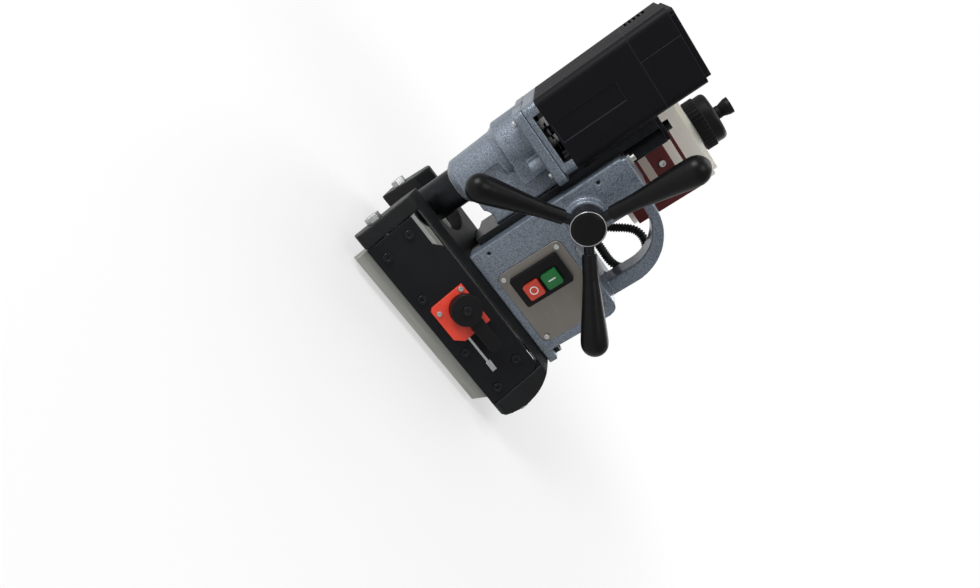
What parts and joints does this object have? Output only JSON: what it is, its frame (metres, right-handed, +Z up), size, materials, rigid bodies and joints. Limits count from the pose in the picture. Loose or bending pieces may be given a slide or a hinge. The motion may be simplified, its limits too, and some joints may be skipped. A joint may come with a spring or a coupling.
{
  "type": "magnetic pipe drill",
  "caption": "Upright magnetic drill for pipes: rack-fed motor and gearbox on a dovetail column, splayed bridge base with swivelling switchable magnets, feed wheel and coolant bottle.",
  "frame": {"origin": "on the drill axis, at the level of the lowest edges of the pole shoes", "axes": "+Z up along the drill axis, -X to the front (motor side), -Y to the feed wheel and the switches"},
  "size_m": [0.248, 0.2234, 0.3723],
  "materials": {
    "black_casting": "satin black paint on a steel casting",
    "hammertone_casting": "grey hammertone paint on an aluminium casting",
    "black_plate": "semi-gloss black paint on plate",
    "magnet_steel": "dull ground steel",
    "pole_steel": "ground bare steel",
    "bright_steel": "bright zinc-plated steel",
    "black_steel": "black oxide steel",
    "red_plate": "red powder coat",
    "black_plastic": "fine textured black plastic",
    "panel_metal": "brushed anodised sheet",
    "green_plastic": "moulded green",
    "red_plastic": "moulded red",
    "bronze": "turned bearing bronze",
    "maroon_sheet": "dark red powder coat on sheet steel",
    "milky_plastic": "milky blow-moulded polyethylene",
    "motor_core": "varnished laminations and copper"
  },
  "bodies": {
    "frame": {"base_bridge": "black_casting", "pivot_bolts": "bright_steel", "column_housing": "hammertone_casting", "housing_bolts": "black_steel", "gib_strip": "bronze", "gib_screws": "black_steel", "gib_keeper": "bright_steel", "control_panel": "panel_metal", "panel_screws": "bright_steel", "switch_body": "black_plastic", "feed_bushes": "bronze", "bottle_bracket": "maroon_sheet", "bracket_screws": "bright_steel", "coolant_bottle": "milky_plastic", "motor_conduit": "black_plastic", "housing_gland": "black_plastic"},
    "carriage": {"dovetail_slide": "black_steel", "feed_rack": "bright_steel", "slide_top_plate": "black_steel", "slide_top_screw": "black_steel", "gearbox_case": "hammertone_casting", "gearbox_lid": "hammertone_casting", "lid_screws": "bright_steel", "motor_case": "black_plastic", "motor_end_cap": "black_plastic", "end_cap_screws": "bright_steel", "field_pack": "motor_core", "gear_bearings": "bright_steel", "motor_gland": "black_plastic"},
    "feed_wheel": {"feed_pinion": "bright_steel", "feed_hub": "black_plastic", "hub_cap": "black_plastic", "feed_arms": "black_steel", "feed_grips": "black_plastic"},
    "spindle_body": {"spindle": "black_steel", "arbor_screws": "black_steel"},
    "layshaft_body": {"layshaft": "bright_steel"},
    "armature_body": {"armature": "motor_core"},
    "start_key": {"start_button": "green_plastic"},
    "stop_key": {"stop_button": "red_plastic"},
    "cap": {"bottle_cap": "black_plastic"},
    "spout": {"bottle_spout": "black_plastic"},
    "near_magnet": {"near_magnet_block": "magnet_steel", "near_pole_shoe": "pole_steel", "near_side_plate": "black_plate", "near_plate_screws": "black_steel", "near_lever_plate": "red_plate", "near_lever_plate_screws": "bright_steel"},
    "near_lever_body": {"near_magnet_rotor": "magnet_steel", "near_lever": "black_plastic", "near_lever_screw": "bright_steel"},
    "far_magnet": {"far_magnet_block": "magnet_steel", "far_pole_shoe": "pole_steel", "far_side_plate": "black_plate", "far_plate_screws": "black_steel", "far_lever_plate": "red_plate", "far_lever_plate_screws": "bright_steel"},
    "far_lever_body": {"far_magnet_rotor": "magnet_steel", "far_lever": "black_plastic", "far_lever_screw": "bright_steel"}
  },
  "joints": [
    {"name": "carriage_feed", "type": "slide", "parent": "frame", "child": "carriage", "axis": [0, 0, 1], "range_m": [-0.012, 0.075], "deforming": ["motor_conduit"]},
    {"name": "feed_turn", "type": "hinge", "parent": "frame", "child": "feed_wheel", "pos_m": [0.0876, 0, 0.203], "axis": [0, 1, 0], "range_deg": [-60, 362]},
    {"name": "spindle_spin", "type": "hinge", "parent": "carriage", "child": "spindle_body", "pos_m": [0, 0, 0.12], "axis": [0, 0, 1], "continuous": true},
    {"name": "layshaft_spin", "type": "hinge", "parent": "carriage", "child": "layshaft_body", "pos_m": [0.0255, 0, 0.19], "axis": [0, 0, 1], "continuous": true},
    {"name": "armature_spin", "type": "hinge", "parent": "carriage", "child": "armature_body", "pos_m": [0.007, 0, 0.26], "axis": [0, 0, 1], "continuous": true},
    {"name": "near_swivel", "type": "hinge", "parent": "frame", "child": "near_magnet", "pos_m": [0, -0.061, 0.04283], "axis": [1, 0, 0], "range_deg": [-8, 8]},
    {"name": "far_swivel", "type": "hinge", "parent": "frame", "child": "far_magnet", "pos_m": [0, 0.061, 0.04283], "axis": [1, 0, 0], "range_deg": [-8, 8]},
    {"name": "near_lever_turn", "type": "hinge", "parent": "near_magnet", "child": "near_lever_body", "pos_m": [0.09, -0.05551, 0.05461], "axis": [0, 0.9063, -0.4226], "range_deg": [0, 150]},
    {"name": "far_lever_turn", "type": "hinge", "parent": "far_magnet", "child": "far_lever_body", "pos_m": [0.09, 0.05551, 0.05461], "axis": [0, 0.9063, 0.4226], "range_deg": [0, 150]},
    {"name": "start_press", "type": "slide", "parent": "frame", "child": "start_key", "axis": [0, 1, 0], "range_m": [0, 0.003], "stiffness_N_per_m": 300},
    {"name": "stop_press", "type": "slide", "parent": "frame", "child": "stop_key", "axis": [0, 1, 0], "range_m": [0, 0.003], "stiffness_N_per_m": 300},
    {"name": "cap_turn", "type": "hinge", "parent": "frame", "child": "cap", "pos_m": [0.107, 0.0885, 0.34], "axis": [0, 0, 1], "range_deg": [0, 540]},
    {"name": "spout_pull", "type": "slide", "parent": "cap", "child": "spout", "axis": [0, 0, 1], "range_m": [0, 0.005]}
  ],
  "couplings": [
    {"joint": "feed_turn", "follows": "carriage_feed", "rad_per_m": 83.333},
    {"joint": "layshaft_spin", "follows": "spindle_spin", "ratio": -3.25},
    {"joint": "armature_spin", "follows": "spindle_spin", "ratio": 11.781}
  ]
}
